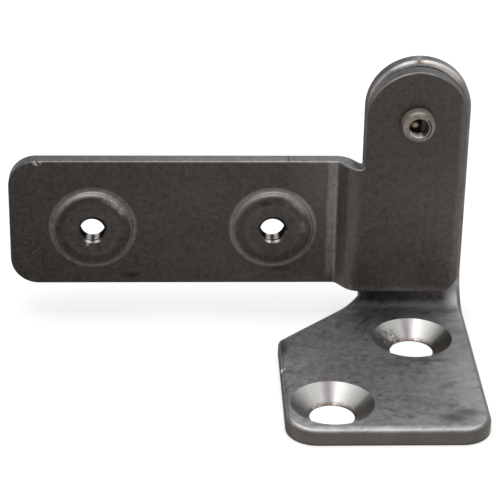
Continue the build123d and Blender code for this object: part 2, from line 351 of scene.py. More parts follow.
class Finish(Wiring):
    """A material being wired, in millimetres of the piece's own coordinates."""

    def __init__(self, name):
        self.material = bpy.data.materials.new(name)
        self.material.use_nodes = True
        super().__init__(self.material.node_tree)
        metres = self.node("ShaderNodeTexCoord", output="Object")
        self.facing = self.parts(metres.other("Normal"))
        self.place = self.node(
            "ShaderNodeMapping", {}, {"Vector": metres, "Scale": (1 / MM, 1 / MM, 1 / MM)})
        self.x, self.y, self.z = self.parts(self.place)

    def parts(self, vector):
        """The three numbers of a vector."""
        first = self.node("ShaderNodeSeparateXYZ", {}, {0: vector})
        return first, first.other(1), first.other(2)

    def between(self, value, low, high):
        """Smooth step from 0 at low to 1 at high."""
        return self.node(
            "ShaderNodeMapRange", {"interpolation_type": "SMOOTHSTEP"},
            {"Value": value, "From Min": low, "From Max": high, "To Min": 0.0, "To Max": 1.0})

    def band(self, value, low, high, soft):
        """1 from low to high, with soft borders."""
        start = self.between(value, low - soft, low + soft)
        return start - self.between(value, high - soft, high + soft)

    def noise(self, size, detail=3.0, roughness=0.55, stretch=(1.0, 1.0, 1.0), turn=0.0):
        """Cloudy pattern with features of a size in millimetres, turned about Z and stretched."""
        laid = self.node("ShaderNodeMapping", {"vector_type": "TEXTURE"}, {
            "Vector": self.place, "Rotation": (0.0, 0.0, math.radians(turn)), "Scale": stretch})
        return self.node("ShaderNodeTexNoise", {}, {
            "Vector": laid, "Scale": 1.0 / size, "Detail": detail, "Roughness": roughness})

    def specks(self, spacing, radius, share):
        """Round specks in a share of the cells, with spacing and radius in millimetres."""
        cell = self.node("ShaderNodeTexVoronoi", {}, {"Vector": self.place, "Scale": 1.0 / spacing})
        chosen = self.parts(cell.other("Color"))[0]
        near = 1.0 - self.between(cell, 0.4 * radius / spacing, radius / spacing)
        return near * self.maths("LESS_THAN", chosen, share)

    def spot(self, centre, reach, core=0.2):
        """Soft spot about a place, with its reach along each axis in millimetres."""
        offset = self.node("ShaderNodeVectorMath", {"operation": "SUBTRACT"}, {0: self.place, 1: centre})
        scaled = self.node("ShaderNodeVectorMath", {"operation": "DIVIDE"}, {0: offset, 1: reach})
        length = self.node("ShaderNodeVectorMath", {"operation": "LENGTH"}, {0: scaled}, output="Value")
        return 1.0 - self.between(length, core, 1.0)

    def polar(self, across, along):
        """Radius and angle of a place about an axis, from its offsets in the two other directions."""
        radius = self.maths("SQRT", across * across + along * along)
        return radius, self.maths("ARCTAN2", along, across)

    def mix(self, factor, first, second):
        """Mix of two colours."""
        return self.node(
            "ShaderNodeMix", {"data_type": "RGBA", "clamp_factor": True},
            {"Factor_Float": factor, "A_Color": as_colour(first), "B_Color": as_colour(second)},
            output="Result_Color")

    def shaded(self, colour, shade):
        """A colour made lighter or darker by a value."""
        grey = self.node("ShaderNodeCombineColor", {}, {0: shade, 1: shade, 2: shade})
        return self.node(
            "ShaderNodeMix", {"data_type": "RGBA", "blend_type": "MULTIPLY", "clamp_result": False},
            {"Factor_Float": 1.0, "A_Color": as_colour(colour), "B_Color": grey}, output="Result_Color")

    def metal(self, colour, roughness, height, depth, metallic=1.0):
        """Finish the material as metal, dull where metallic is low, with relief in millimetres."""
        normal = self.node(
            "ShaderNodeBump", {}, {"Strength": 1.0, "Distance": depth * MM, "Height": height})
        shader = self.node("ShaderNodeBsdfPrincipled", {}, {
            "Base Color": colour, "Roughness": roughness, "Metallic": metallic,
            "Specular IOR Level": 0.0, "Normal": normal})
        self.node("ShaderNodeOutputMaterial", {}, {"Surface": shader})
        return self.material


def as_colour(value):
    """A plain colour with its alpha, or a wire as it is."""
    if isinstance(value, Wire):
        return value
    return (*value[:3], 1.0)


def boss_middles():
    """Middles of the two bosses in millimetres, as X and Z."""
    return [((TAP_MIDDLE + side * TAP_STEP / 2).x / MM, TAP_MIDDLE.z / MM) for side in (-1, 1)]


def screw_middles():
    """Middles of the two countersinks in millimetres, front one first, as X and Y."""
    return [(side * SCREW_STEP[0] / 2, side * SCREW_STEP[1] / 2) for side in (-1, 1)]


def lower_glint(finish, angle):
    """Mask of two painted glints at the bottom of a bore, either side of its lowest line."""
    lowest = -math.pi / 2
    pair = finish.band(angle, lowest - 0.5, lowest + 0.5, 0.15)
    return pair * (1.0 - 0.85 * finish.band(angle, lowest - 0.16, lowest + 0.16, 0.1))


def arm_shade(finish, clouds, mottle, grain, on_tab):
    """How light the arm's faces are: a painted highlight beside the joggle and painted shade in its fold, paler at
    the tab's side and foot, with painted light along the tab's bottom edge.
    """
    scuffs = finish.noise(0.5, 3.0, 0.6, (0.25, 1.0, 3.0))
    towards_tab = finish.between(finish.x, -60.0, 0.0)
    towards_foot = 1.0 - finish.between(finish.z, 4.0, 22.0)
    by_joggle = finish.between(finish.x, JOGGLE_X - 10.0, JOGGLE_X - 1.0) * (
        1.0 - finish.between(finish.x, JOGGLE_X + 0.8, JOGGLE_X + 2.8))
    tab_foot = on_tab * (1.0 - finish.between(finish.z, 12.0, 31.0))
    tab_side = finish.between(finish.x, ARM_RIGHT_X - 1.5, ARM_RIGHT_X - 0.6)
    # Painted light along the tab's bottom edge, where the flange lights it
    tab_hem_light = on_tab * (1.0 - finish.between(finish.z, ARM_BOTTOM_Z + 0.05, ARM_BOTTOM_Z + 1.45))
    shade = (0.34 * clouds + 1.1 * mottle + 0.8 * grain + 0.10 * scuffs
             + 0.45 * towards_tab - 0.18 * towards_foot - 0.365)
    shade = shade * (1.0 + 0.6 * by_joggle + 0.42 * tab_foot + 0.6 * tab_side + 1.1 * tab_hem_light)
    # Painted highlight on the leaf just left of the joggle, and painted shade in the joggle's fold
    sheen = finish.between(finish.x, JOGGLE_X - 1.75, JOGGLE_X - 1.2) * (
        1.0 - finish.between(finish.x, JOGGLE_X - 0.22, JOGGLE_X + 0.02))
    sheen = sheen * finish.between(finish.z, ARM_BOTTOM_Z + 0.35, ARM_BOTTOM_Z + 2.95)
    sheen = sheen * (1.0 - 0.35 * finish.between(finish.z, 18.0, 25.0))
    crease_shade = finish.band(finish.x, JOGGLE_X, JOGGLE_X + 1.2, 0.25)
    return shade * (1.0 + 1.05 * sheen) * (1.0 - 0.08 * crease_shade)


def boss_marks(finish, mottle, middle, sheen):
    """What one boss does to the painted light and shade of the arm's faces, and its masks by name."""
    radius, angle = finish.polar(finish.x - middle[0], finish.z - middle[1])
    from_rim = radius - BOSS_TOP_RADIUS
    # Painted light on the foot fillet, the wall, the flat and the ring, and painted shadow inside the rim's lower
    # half
    foot = finish.band(from_rim, 0.10, 1.00, 0.22)
    wall = finish.band(from_rim, 0.04, 0.34, 0.05)
    ring = finish.band(from_rim, -1.95, -1.55, 0.2)
    flat = 1.0 - finish.between(from_rim, -1.8, -0.6)
    upper = finish.band(angle, 0.35, 2.7, 0.45)
    lower = finish.band(angle, -2.6, -0.5, 0.5)
    crown = finish.band(angle, 1.25, 2.15, 0.65)
    # Painted highlight on the brow and the top of the wall; the bright patch at the upper right is painted
    # highlight and scuff
    brow = finish.band(from_rim, -0.25, 0.45, 0.14) * upper
    dull = finish.band(from_rim, -1.4, -0.3, 0.3) * (1.0 + 1.2 * lower)
    highlight_and_scuff = finish.band(from_rim, -0.70, 0.15, 0.3) * finish.band(angle, 0.60, 1.15, 0.25)
    mouth = finish.band(radius, TAP_RADIUS + 0.02, MOUTH_RADIUS - 0.03, 0.02)
    shade = 1.0 + 1.25 * foot + wall + 0.14 * flat + 0.10 * ring - 0.10 * dull
    return shade, {
        "wall": wall,
        "brow_highlight": sheen * brow * finish.between(mottle, 0.15, 0.5),
        "bright": finish.either(
            sheen * wall * crown * finish.between(mottle, 0.0, 0.65),
            sheen * highlight_and_scuff * finish.between(mottle, 0.20, 0.80)),
        "mouth": mouth * lower_glint(finish, angle),
        "bore": 1.0 - finish.between(radius, TAP_RADIUS + 0.45, TAP_RADIUS + 0.5),
        "whole": 1.0 - finish.between(from_rim, 1.1, 1.5),
    }


def arm_steel(settings):
    """Dull mill finish of the arm, dark and slightly warm, with painted highlights on its upper edges, rims and
    bosses and painted shade on its sides and in its bores.
    """
    finish = Finish("arm_mill_finish")
    clouds = finish.noise(8.0, 4.0)
    mottle = finish.noise(0.8, 3.0, 0.65)
    grain = finish.noise(0.28, 2.0, 0.6)
    on_tab = finish.between(finish.x, JOGGLE_X + 1.6, JOGGLE_X + 2.6)
    shade = arm_shade(finish, clouds, mottle, grain, on_tab)
    rows = []
    for middle, sheen in zip(boss_middles(), BOSS_SHEEN_AND_WEAR):
        boss_shade, masks = boss_marks(finish, mottle, middle, sheen)
        shade = shade * boss_shade
        rows.append(masks)
    boss = finish.joined(rows)

    # Smudges and stains on the faces, painted highlights and scuffs on the bosses, painted glints at the corner
    # nick and at the lower left of the left boss's mouth, and light specks
    smudge = finish.either(
        finish.spot((-36.2, LEAF_FACE_Y, 6.5), (2.0, 1.0, 0.8)),
        finish.spot((-13.2, LEAF_FACE_Y, 7.6), (2.4, 1.0, 0.8)) * 0.6,
        finish.spot((-15.4, BOSS_FACE_Y, 19.3), (1.5, 0.8, 0.7)) * 0.7)
    stain = finish.between(mottle, 0.35, 0.6) * finish.either(
        finish.spot((-9.6, BOSS_FACE_Y, 15.2), (0.75, 0.8, 1.5)),
        finish.spot((-11.6, BOSS_FACE_Y, 19.2), (1.1, 0.8, 0.7)) * 0.8,
        finish.spot((13.3, ARM_FACE_Y, 9.5), (1.6, 0.8, 3.5)) * 0.10)
    specks = finish.specks(2.6, 0.18, 0.8)
    corner_nick = finish.spot((CORNER_NICK_X, LEAF_FACE_Y, LEAF_TOP_Z - 0.2), (0.9, 1.4, 0.7), 0.3)
    burr_x, burr_z = boss_middles()[0]
    burr_glint = finish.spot((burr_x - 0.8, BOSS_FACE_Y, burr_z - 2.35), (0.35, 0.5, 0.6))
    highlight_and_wear = finish.either(boss["bright"], 0.15 * specks, 0.7 * corner_nick, 0.5 * burr_glint)
    faces = finish.shaded(settings.arm_colour, shade)
    faces = finish.mix(0.7 * boss["brow_highlight"], faces, settings.lit_edge_colour)
    faces = finish.mix(highlight_and_wear, faces, [0.45 * part for part in settings.cut_and_glint_colour])
    faces = finish.mix(0.85 * smudge, faces, settings.soot_and_shade_colour)
    faces = finish.mix(0.75 * stain, faces, settings.stain_colour)

    # Painted highlights on the rounded front rims, painted shade on the sheared sides, and painted light on the
    # edges that face up
    off_boss = 1.0 - boss["whole"]
    rim = finish.between(finish.facing[2], 0.2, 0.5) * finish.between(0.0 - finish.facing[1], 0.2, 0.5)
    rim = rim * off_boss * (1.0 - on_tab * finish.band(finish.x, 6.0, 8.0, 1.2))
    faces = finish.mix(rim * (0.25 + 0.3 * on_tab), faces, settings.lit_edge_colour)
    rim = rim * on_tab * (1.0 - 0.8 * finish.between(finish.x, 10.5, 13.5))
    faces = finish.mix(0.6 * rim, faces, settings.bracket_colour)
    sideways_shade = finish.between(finish.maths("ABSOLUTE", finish.facing[0]), 0.80, 0.95)
    faces = finish.mix(sideways_shade, faces, finish.shaded(settings.shaded_side_colour, 0.6 + 0.6 * mottle))
    tab_left = on_tab * (1.0 - finish.between(finish.x, 3.0, 8.0))
    leaf_corner = 1.0 - finish.between(finish.x, LEAF_END_X + 1.65, LEAF_END_X + 5.15)
    leaf_end = 1.0 - finish.between(finish.x, LEAF_END_X + 3.15, LEAF_END_X + 41.15)
    edges = finish.shaded(settings.lit_edge_colour, 0.25 + mottle + 0.4 * clouds - 0.38 * leaf_end
                          - 0.35 * on_tab - 0.22 * tab_left - 0.25 * leaf_corner)
    up = finish.between(finish.facing[2], 0.55, 0.95) * off_boss
    colour = finish.mix(up, faces, edges)

    # Painted shade inside the threaded bores, with painted glints on the lower side of their chamfered mouths
    mouth_end = BOSS_FACE_Y + MOUTH_DEPTH
    inside = boss["bore"] * finish.between(finish.y, mouth_end - 0.02, mouth_end + 0.02)
    colour = finish.mix(inside, colour, settings.soot_and_shade_colour)
    colour = finish.mix(boss["mouth"], colour, finish.shaded(settings.cut_and_glint_colour, mottle))
    roughness = settings.roughness - 0.05 + 0.16 * mottle
    metallic = 1.0 - finish.either(0.9 * sideways_shade, inside, boss["wall"])
    return finish.metal(colour, roughness, mottle + 0.6 * grain, SKIN_RELIEF, metallic)


def cone_shade(finish, angle):
    """Painted glints and shade on a turned cone, by angle about its axis: pale far wall with a narrow streak, dark
    wedge at the right.
    """
    turn = angle / (2.0 * math.pi) + 0.5
    by_degrees = [
        (-180, 0.17), (-120, 0.20), (-85, 0.22), (-55, 0.14), (0, 0.14), (12, 0.15), (23, 0.18),
        (27, 0.33), (43, 0.37), (54, 0.34), (63, 0.34), (79, 0.40), (85, 0.24), (92, 0.13),
        (98, 0.15), (104, 0.24), (115, 0.34), (128, 0.46), (141, 0.40), (156, 0.26), (168, 0.20),
        (180, 0.17)]
    stops = [(degrees / 360.0 + 0.5, grey) for degrees, grey in by_degrees]
    glints = finish.node("ShaderNodeValToRGB", {"stops": stops}, {"Fac": turn})
    return finish.node("ShaderNodeRGBToBW", {}, {"Color": glints})


def countersink_marks(finish, mottle, grain, middle):
    """Masks of one countersink by name: its cone, its painted glints and the tint of their streak, its stains, and
    a swirl beside it.
    """
    x, y = middle
    radius, angle = finish.polar(finish.x - x, finish.y - y)
    from_hole = radius - SCREW_HOLE_RADIUS
    from_mouth = radius - COUNTERSINK_RADIUS
    cone = (1.0 - finish.between(from_mouth, -0.02, 0.02)) * finish.between(finish.z, 0.03, 0.06)
    rings = finish.maths("SINE", 26.0 * radius + 3.0 * mottle)
    ripples = finish.between(finish.maths("SINE", 5.2 * radius), 0.2, 0.9)
    stained = finish.spot((x + 3.4, y + 0.2, 0.6), (2.0, 2.8, 1.4), 0.3)
    edge = (1.0 - finish.between(from_hole, 0.04, 0.30)) * finish.band(angle, 0.2, 1.2, 0.3)
    lip = 1.0 - finish.between(from_hole, 0.05, 0.60)
    return {
        "cone": cone,
        "glint": cone * cone_shade(finish, angle) * (0.92 + 0.05 * rings + 0.10 * grain),
        "tint": cone * finish.band(angle, math.radians(88), math.radians(104), 0.06),
        "stain": finish.either(
            0.6 * stained * finish.between(mottle, 0.25, 0.7),
            0.85 * edge * cone,
            0.8 * lip * cone * finish.between(mottle + 0.4 * grain, 0.48, 0.78)),
        "swirl": ripples * finish.band(from_mouth, 0.5, 3.3, 0.5) * finish.band(angle, 2.2, 3.3, 0.4),
    }


def front_shade(finish):
    """Painted light on the flange's front roll and left corner, and painted shade on its steep front and right."""
    front = BRACKET_LOW.y / MM
    roll = finish.band(finish.y, front + 0.75, front + 1.5, 0.25)
    lip = 1.0 - finish.between(finish.y, front + 0.3, front + 0.8)
    left_corner = finish.spot((-11.8, -14.2, SHEET), (4.2, 3.4, 1.5), 0.3)
    steep = (1.0 - finish.between(finish.facing[2], 0.80, 0.995)) * (
        1.0 - finish.between(finish.y, front + 3.5, front + 5.0))
    rightward = finish.between(finish.facing[0], 0.10, 0.45) * (
        1.0 - finish.between(finish.z, SHEET + 0.2, SHEET + 1.0))
    lift = 0.12 * (roll - 0.9 * lip) + 0.3 * left_corner
    return lift, finish.either(0.48 * steep, 0.5 * rightward)


def bend_shade(finish, ahead):
    """Painted light and shade about the bend: darker in it as painted shade and soot, painted light above it and
    at its right foot.
    """
    right_end = finish.between(finish.x, 10.5, 14.0)
    bend = ahead * finish.band(finish.z, SHEET + 0.15, SHEET + 1.9, 0.5)
    foot = finish.band(finish.y, 13.0, 18.0, 1.0) * right_end
    above = ahead * finish.band(finish.z, SHEET + 1.2, SHEET + 6.0, 1.0) * (
        1.0 - finish.between(finish.x, 11.0, 14.0) - 0.8 * finish.band(finish.x, 2.0, 9.0, 2.0))
    return 0.25 * foot + 0.6 * above - bend * (0.15 + 0.22 * right_end)


def tab_shade(finish, ahead, tab_rim_highlight):
    """Painted light on the tab's front and rims less its top edge, and painted shade on its right border."""
    upper = finish.between(finish.z, 28.0, 34.0)
    nick = finish.band(finish.x, TAB_NICK_X - 0.6, TAB_NICK_X + 0.6, 0.5)
    right = ahead * finish.between(finish.x, 9.5, 13.0) * (1.0 - finish.between(finish.z, 38.0, 40.5))
    front = upper * finish.between(0.0 - finish.facing[1], 0.9, 0.98) * (1.0 - right) * (
        0.15 + 0.85 * finish.between(finish.x, 2.0, 5.0))
    top_edge = upper * finish.between(finish.facing[1], -0.3, -0.1) * (
        1.5 - 0.5 * finish.between(finish.x, 1.0, 6.0))
    left_rim = upper * finish.band(finish.facing[1], -0.80, -0.45, 0.1) * (
        1.0 - finish.between(finish.x, 3.0, 6.0))
    right_strip = ahead * finish.between(finish.x, 13.0, 14.4) * finish.between(finish.z, 5.5, 8.0) * (
        1.0 - finish.between(finish.z, 38.5, 40.5))
    lift = front + 0.6 * left_rim + 0.30 * tab_rim_highlight * (1.0 - 3.0 * nick) - 0.5 * top_edge * (1.0 - nick)
    return lift, finish.either(0.35 * upper * right, 0.5 * right_strip)


def bracket_steel(settings):
    """Tumbled finish of the bracket, smudged and stained, with machined countersinks in painted glints, and
    painted light and shade over its front, bend, tab and sides.
    """
    finish = Finish("bracket_tumbled")
    clouds = finish.noise(5.5, 4.0, 0.6)
    mottle = finish.noise(0.9, 3.0, 0.65)
    grain = finish.noise(0.3, 2.0, 0.6)
    streaks = finish.noise(1.1, 4.0, 0.6, (3.5, 1.0, 1.0), 8.0)
    rows = [countersink_marks(finish, mottle, grain, middle) for middle in screw_middles()]
    sink = finish.joined(rows)

    # How light the sheet is, over the flange first, darker towards the bend, and then with painted light and shade
    # at its front, bend and tab
    towards_right = finish.between(finish.x + 0.12 * finish.y, 6.0, 15.0)
    towards_left = 1.0 - finish.between(finish.x, -8.0, 4.0)
    towards_front = 1.0 - finish.between(finish.y, -17.0, -9.0)
    towards_bend = finish.between(finish.y + 7.0 * (clouds - 0.5), 9.0, 19.0) * (
        1.0 - 0.8 * towards_right)
    shade = (1.25 * clouds + 0.55 * mottle + 0.45 * grain + 0.40 * streaks
             + 0.28 * towards_right + 0.10 * towards_front - 0.21 * towards_bend - 0.405
             + 0.12 * towards_left - 0.20 * sink["swirl"])
    blots = finish.between(finish.noise(2.4, 6.0, 0.7), 0.54, 0.70)
    flecks = finish.between(finish.noise(0.9, 5.0, 0.7, (2.0, 1.0, 1.0), 12.0), 0.56, 0.68)
    blots = blots + 0.65 * flecks * (1.0 - towards_right)
    ahead = 1.0 - finish.between(finish.facing[1], 0.2, 0.5)
    # Painted highlight on the front rim of the tab's round end, stronger to the right
    tab_rim_highlight = finish.between(finish.z, 33.0, 39.5) * finish.band(finish.facing[1], -0.9, -0.2, 0.1) * (
        0.4 + 0.8 * finish.between(finish.x, 4.0, 11.0))
    front_lift, front_painted_shade = front_shade(finish)
    tab_lift, tab_painted_shade = tab_shade(finish, ahead, tab_rim_highlight)
    shade = shade * (1.0 + front_lift + bend_shade(finish, ahead) + tab_lift - 0.4 * blots)
    shade = shade * (1.0 - tab_painted_shade) * (1.0 - front_painted_shade)

    # Smudges and dirt on the faces
    smudge = finish.between(streaks, 0.30, 0.55) * finish.either(
        finish.spot((10.2, -4.8, SHEET), (2.2, 1.6, 1.0)) * 0.45,
        finish.spot((9.6, 17.6, SHEET), (1.4, 0.9, 1.5)) * 0.8,
        finish.spot((9.0, 2.6, SHEET), (4.5, 1.0, 1.0)) * 0.8,
        finish.spot((-1.0, 17.0, SHEET), (3.2, 1.5, 1.5)) * 0.5)
    dirt = finish.either(
        finish.spot((-13.4, 6.4, SHEET), (1.5, 3.2, 1.2), 0.3),
        finish.spot((10.6, -14.0, SHEET), (3.4, 2.0, 1.0)),
        finish.spot((12.3, -12.7, SHEET), (3.0, 1.9, 1.0)))
    faces = finish.shaded(settings.bracket_colour, shade)
    # Warm painted highlight on the rim of the tab's round end
    faces = finish.mix(0.5 * tab_rim_highlight, faces, finish.shaded(settings.warm_highlight_colour, shade))
    faces = finish.mix(0.60 * smudge, faces, settings.soot_and_shade_colour)
    faces = finish.mix(0.60 * dirt, faces, settings.soot_and_shade_colour)

    # Upright sides of the flange in painted shade, darkest along the bottom as a painted shadow, then the turned
    # countersinks with their painted glints, stains and pits
    upright = 1.0 - finish.between(finish.facing[2], 0.50, 0.72)
    low = 1.0 - finish.between(finish.z, SHEET + 0.2, SHEET + 1.0)
    hem_shadow = 1.0 - finish.between(finish.z, 0.05, 0.45)
    side_shade = (0.55 + 0.45 * clouds + 0.45 * mottle) * (1.0 - 0.6 * hem_shadow)
    colour = finish.mix(upright * low, faces, finish.shaded(settings.shaded_side_colour, side_shade))
    turned = finish.mix(sink["tint"], settings.cut_and_glint_colour, settings.tint_colour)
    colour = finish.mix(sink["cone"], colour, finish.shaded(turned, sink["glint"]))
    colour = finish.mix(sink["stain"], colour, settings.rust_colour)
    rear_x, rear_y = screw_middles()[1]
    pitted = finish.spot((rear_x - 3.3, rear_y + 1.6, 0.9), (3.6, 3.8, 2.0), 0.45)
    pitted = pitted * finish.between(finish.noise(0.75, 5.0, 0.75), 0.44, 0.54)
    colour = finish.mix(0.75 * pitted, colour, settings.grime_colour)

    # Sheared left edge in painted shade, with a painted glint in its nick
    sideways_shade = finish.between(0.0 - finish.facing[0], 0.75, 0.92)
    colour = finish.mix(sideways_shade, colour, finish.shaded(settings.shaded_side_colour, 0.6 + 0.6 * mottle))
    edge_nick_glint = finish.spot((BRACKET_LOW.x / MM, EDGE_NICK_Y, SHEET - 0.2), (0.9, 0.5, 0.8), 0.4)
    colour = finish.mix(edge_nick_glint, colour, settings.cut_and_glint_colour)
    roughness = settings.roughness - 0.05 + 0.16 * mottle - 0.04 * sink["cone"]
    return finish.metal(colour, roughness, mottle + 0.6 * grain, SKIN_RELIEF, 1.0 - 0.9 * sideways_shade)


def rivet_steel(settings):
    """Drawn steel of the rivet, its rolled end in painted light and shade, and its bore with a painted glint on
    the wall and painted shade on the floor.
    """
    finish = Finish("rivet_drawn")
    mottle = finish.noise(0.5, 3.0, 0.6)
    x, _, z = PIVOT / MM
    radius, angle = finish.polar(finish.x - x, finish.z - z)

    # Rolled end with painted light on its face and painted shade where it tilts up, and darker along a crack at
    # its right
    rolled = finish.between(0.0 - finish.facing[1], 0.2, 0.6)
    side = (1.0 - rolled) * finish.between(finish.facing[2], -0.2, 0.5)
    crack = finish.band(radius, RIVET_BORE_RADIUS + 0.245, RIVET_BORE_RADIUS + 0.475, 0.05)
    crack = crack * finish.band(angle, -0.9, 0.8, 0.15)
    crack = crack * (1.0 - finish.between(finish.y, ARM_FACE_Y - 0.5, ARM_FACE_Y))
    shade = (0.4 + 1.2 * mottle) * (1.0 + 0.1 * side) * (1.0 - 0.8 * crack)
    tilted = finish.between(finish.facing[2], 0.1, 0.6)
    shade = shade * (1.0 + rolled * (0.3 - 0.45 * tilted))
    colour = finish.shaded(settings.rivet_colour, shade)

    # Bore: painted glint on the wall below, painted shade on the floor with a painted straw reflection, and a
    # paler flap at the right
    in_bore = 1.0 - finish.between(radius, RIVET_BORE_RADIUS, RIVET_BORE_RADIUS + 0.08)
    in_bore = in_bore * (1.0 - finish.between(finish.y, ARM_FACE_Y + 0.05, ARM_FACE_Y + 0.1))
    glinting = finish.band(angle, -2.7, -1.15, 0.2)
    wall = finish.mix(glinting, finish.shaded(settings.rivet_colour, 0.3 + 0.6 * mottle),
                      finish.shaded(settings.cut_and_glint_colour, 0.4 + mottle))
    colour = finish.mix(in_bore, colour, wall)
    floor = in_bore * finish.between(finish.y, ARM_FACE_Y - 0.15, ARM_FACE_Y - 0.05)
    colour = finish.mix(floor, colour, settings.soot_and_shade_colour)
    straw_reflection = floor * finish.spot((x - 0.4, ARM_FACE_Y, z - 0.2), (0.7, 0.5, 0.55), 0.3)
    colour = finish.mix(straw_reflection, colour, [1.5 * part for part in settings.straw_reflection_colour])
    flap = floor * finish.between(finish.x - x, 0.55, 0.65)
    colour = finish.mix(flap, colour, settings.rivet_colour)
    roughness = settings.roughness + 0.16 * mottle + 0.3 * finish.either(side, in_bore)
    return finish.metal(colour, roughness, mottle, SKIN_RELIEF)


def thread_steel(settings):
    """Cut steel of the thread turns, with painted glints on the crests and painted shade in the roots."""
    finish = Finish("thread_cut")
    mottle = finish.noise(0.4, 3.0, 0.6)
    crests = []
    for x, z in boss_middles():
        radius, angle = finish.polar(finish.x - x, finish.z - z)
        crest = 1.0 - finish.between(radius, TAP_RADIUS + 0.01, TAP_RADIUS + 0.08)
        crests.append(0.75 * crest * lower_glint(finish, angle))
    glint = finish.either(*crests)
    bright = finish.shaded(settings.cut_and_glint_colour, 0.4 + 0.5 * mottle)
    colour = finish.mix(glint, settings.soot_and_shade_colour, bright)
    return finish.metal(colour, 0.22 + 0.14 * mottle, mottle, THREAD_RELIEF, glint)


def merged_copy(node, piece):
    """A copy of one node of the frame, its loose triangles joined and its flat faces made whole."""
    source = bmesh.new()
    source.from_mesh(frame["nodes"][node].data)
    bmesh.ops.remove_doubles(source, verts=source.verts, dist=MERGE_DISTANCE)
    bmesh.ops.dissolve_limit(
        source, angle_limit=math.radians(FLAT_ANGLE), verts=source.verts, edges=source.edges)
    mesh = bpy.data.meshes.new(piece)
    source.to_mesh(mesh)
    source.free()
    made = bpy.data.objects.new(piece, mesh)
    bpy.context.scene.collection.objects.link(made)
    return made


def settle_normals(made):
    """Smooth the curved skins, keep the corners crisp and the flats flat."""
    shape = bmesh.new()
    shape.from_mesh(made.data)
    for face in shape.faces:
        face.smooth = True
    for edge in shape.edges:
        edge.smooth = edge.calc_face_angle(0.0) < math.radians(SHARP_ANGLE)
    shape.to_mesh(made.data)
    shape.free()
    weighted = made.modifiers.new("flat faces stay flat", "WEIGHTED_NORMAL")
    weighted.keep_sharp = True
    weighted.weight = FLAT_WEIGHT
    bake_modifiers(made)


def cut_away(made, cutters):
    """Cut plain meshes out of a piece."""
    for cutter in cutters:
        cut = made.modifiers.new("cut", "BOOLEAN")
        cut.operation = "DIFFERENCE"
        cut.solver = "EXACT"
        cut.object = cutter
    bake_modifiers(made)
    for cutter in cutters:
        bpy.data.objects.remove(cutter)


def cutter_from(shape):
    """A loose object for a shape that is to be cut away."""
    mesh = bpy.data.meshes.new("cutter")
    shape.to_mesh(mesh)
    shape.free()
    made = bpy.data.objects.new("cutter", mesh)
    bpy.context.scene.collection.objects.link(made)
    return made


def bore_cutter(x, z, radii, depths):
    """Round or tapered bar from one Y to another, with its radius at each end, in millimetres."""
    shape = bmesh.new()
    middle = Vector((x, sum(depths) / 2, z)) * MM
    place = Matrix.Translation(middle) @ Matrix.Rotation(math.radians(-90), 4, "X")
    bmesh.ops.create_cone(
        shape, cap_ends=True, segments=CUTTER_SEGMENTS, radius1=radii[0] * MM, radius2=radii[1] * MM,
        depth=(depths[1] - depths[0]) * MM, matrix=place)
    return cutter_from(shape)


def nick_cutter(middle, size, axis, turn):
    """Small turned block that leaves a nick, with its sizes in millimetres."""
    shape = bmesh.new()
    place = Matrix.Translation(Vector(middle) * MM) @ Matrix.Rotation(math.radians(turn), 4, axis)
    place = place @ Matrix.Diagonal((*(Vector(size) * MM), 1.0))
    bmesh.ops.create_cube(shape, size=1.0, matrix=place)
    return cutter_from(shape)


def bake_modifiers(made):
    """Turn the modified object into a plain mesh."""
    bpy.context.view_layer.update()
    evaluated = made.evaluated_get(bpy.context.evaluated_depsgraph_get())
    mesh = bpy.data.meshes.new_from_object(evaluated)
    old = made.data
    made.modifiers.clear()
    made.data = mesh
    mesh.name = made.name
    bpy.data.meshes.remove(old)


def put_on(made, node, body, material):
    """Give a piece its finish and its body, and hide the node of the frame that it stands for."""
    made.data.materials.clear()
    made.data.materials.append(material)
    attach(made, body)
    if node:
        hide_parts(node)


